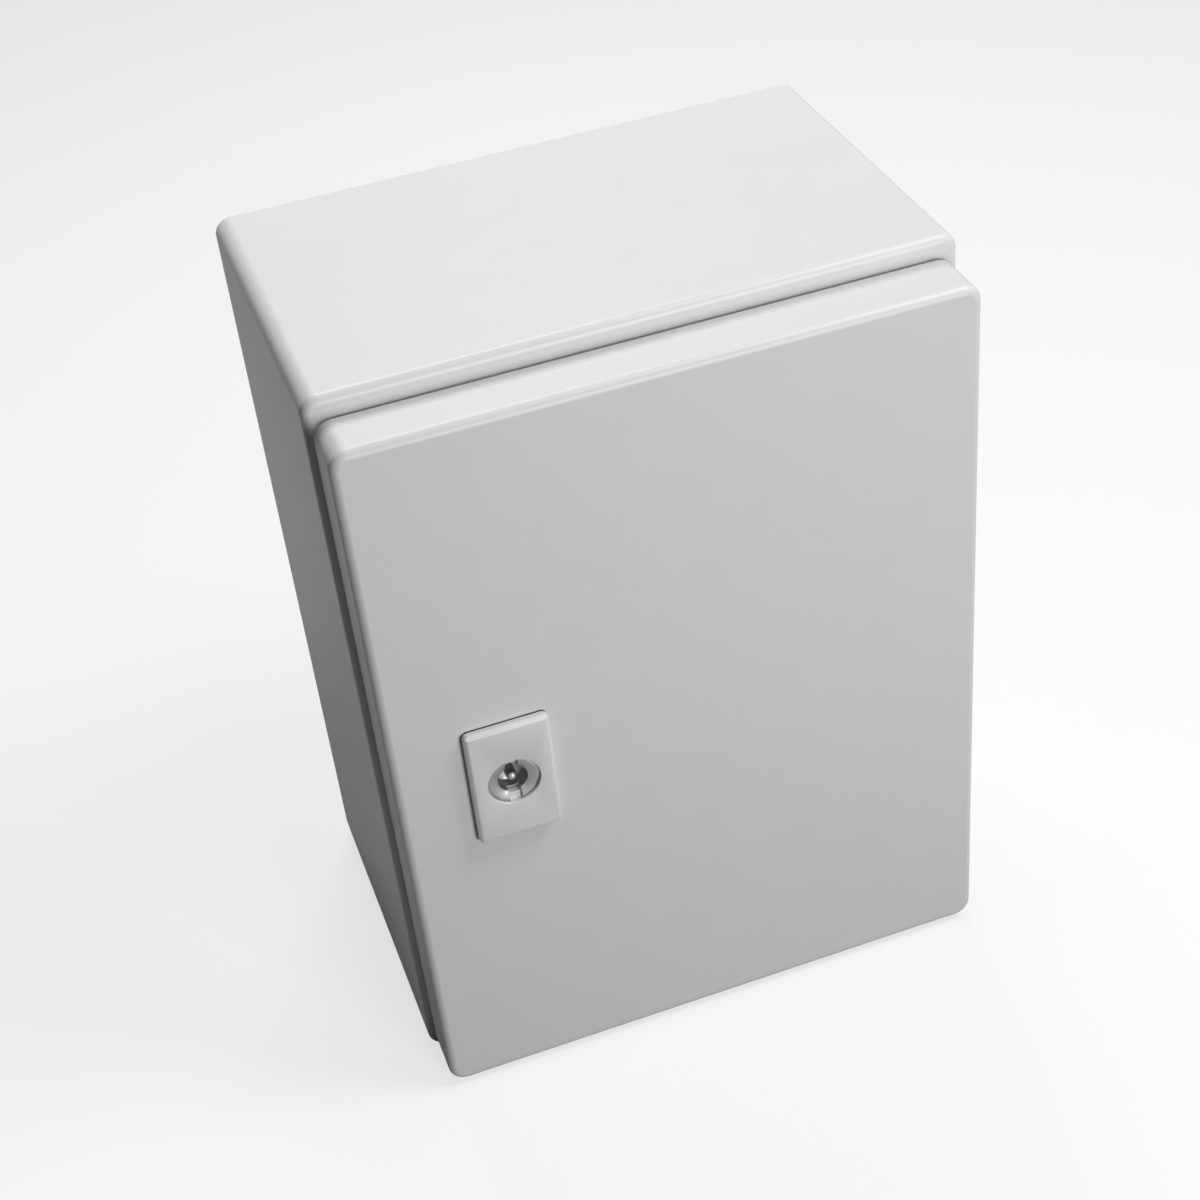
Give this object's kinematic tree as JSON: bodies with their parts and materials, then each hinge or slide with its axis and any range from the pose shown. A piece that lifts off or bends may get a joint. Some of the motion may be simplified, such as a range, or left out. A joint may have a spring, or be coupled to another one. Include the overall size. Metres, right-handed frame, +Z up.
{
  "type": "steel wall enclosure",
  "caption": "Compact wall-mounting sheet-steel electrical enclosure with hinged gasketed door, quarter-turn lock, mounting plate and gland plate.",
  "frame": {"origin": "centre of the four wall-fixing holes, on the outside face of the rear panel", "axes": "+Y out of the rear face into the wall, so the door faces -Y; +Z up; +X to the hinge side, on the right as seen from the front"},
  "size_m": [0.3, 0.2153, 0.4],
  "materials": {
    "powder_coat": "light grey textured powder coat, satin",
    "painted_die_cast": "light grey paint on zinc die-casting, satin",
    "galvanised_sheet": "bright galvanised sheet",
    "zinc_plate": "zinc-plated fasteners",
    "die_cast_zinc": "tumbled zinc die-casting",
    "nickel_die_cast": "satin nickel on zinc die-casting",
    "foam_seal": "matt poured polyurethane foam",
    "rubber_seal": "matt black rubber"
  },
  "bodies": {
    "body": {"body_shell": "powder_coat", "rear_panel": "powder_coat", "plate_studs": "zinc_plate", "plate_spacers": "zinc_plate", "mounting_plate": "galvanised_sheet", "plate_washers": "zinc_plate", "plate_nuts": "zinc_plate", "gland_studs": "zinc_plate", "gland_gasket": "foam_seal", "gland_plate": "galvanised_sheet", "gland_washers": "zinc_plate", "gland_nuts": "zinc_plate", "body_earth_stud": "zinc_plate", "body_earth_washer": "zinc_plate", "body_earth_nut": "zinc_plate", "hinge_bracket_upper": "die_cast_zinc", "hinge_bracket_lower": "die_cast_zinc", "bracket_screws": "zinc_plate", "bracket_nuts": "zinc_plate"},
    "door": {"door_panel": "powder_coat", "door_gasket": "foam_seal", "hinge_leaf_upper": "die_cast_zinc", "hinge_leaf_lower": "die_cast_zinc", "leaf_studs": "zinc_plate", "leaf_nuts": "zinc_plate", "hinge_pin_upper": "zinc_plate", "hinge_pin_lower": "zinc_plate", "door_earth_stud": "zinc_plate", "door_earth_washer": "zinc_plate", "door_earth_nut": "zinc_plate", "lock_housing": "painted_die_cast", "lock_face_gasket": "rubber_seal", "lock_nut": "zinc_plate"},
    "lock": {"lock_core": "nickel_die_cast", "lock_cam": "zinc_plate", "cam_washer": "zinc_plate", "cam_screw": "zinc_plate"}
  },
  "joints": [
    {"name": "door_swing", "type": "hinge", "parent": "body", "child": "door", "pos_m": [0.141, -0.193, 0], "axis": [0, 0, 1], "range_deg": [0, 120]},
    {"name": "lock_turn", "type": "hinge", "parent": "door", "child": "lock", "pos_m": [-0.092, -0.2, -0.0035], "axis": [0, 1, 0], "range_deg": [0, 90]}
  ]
}
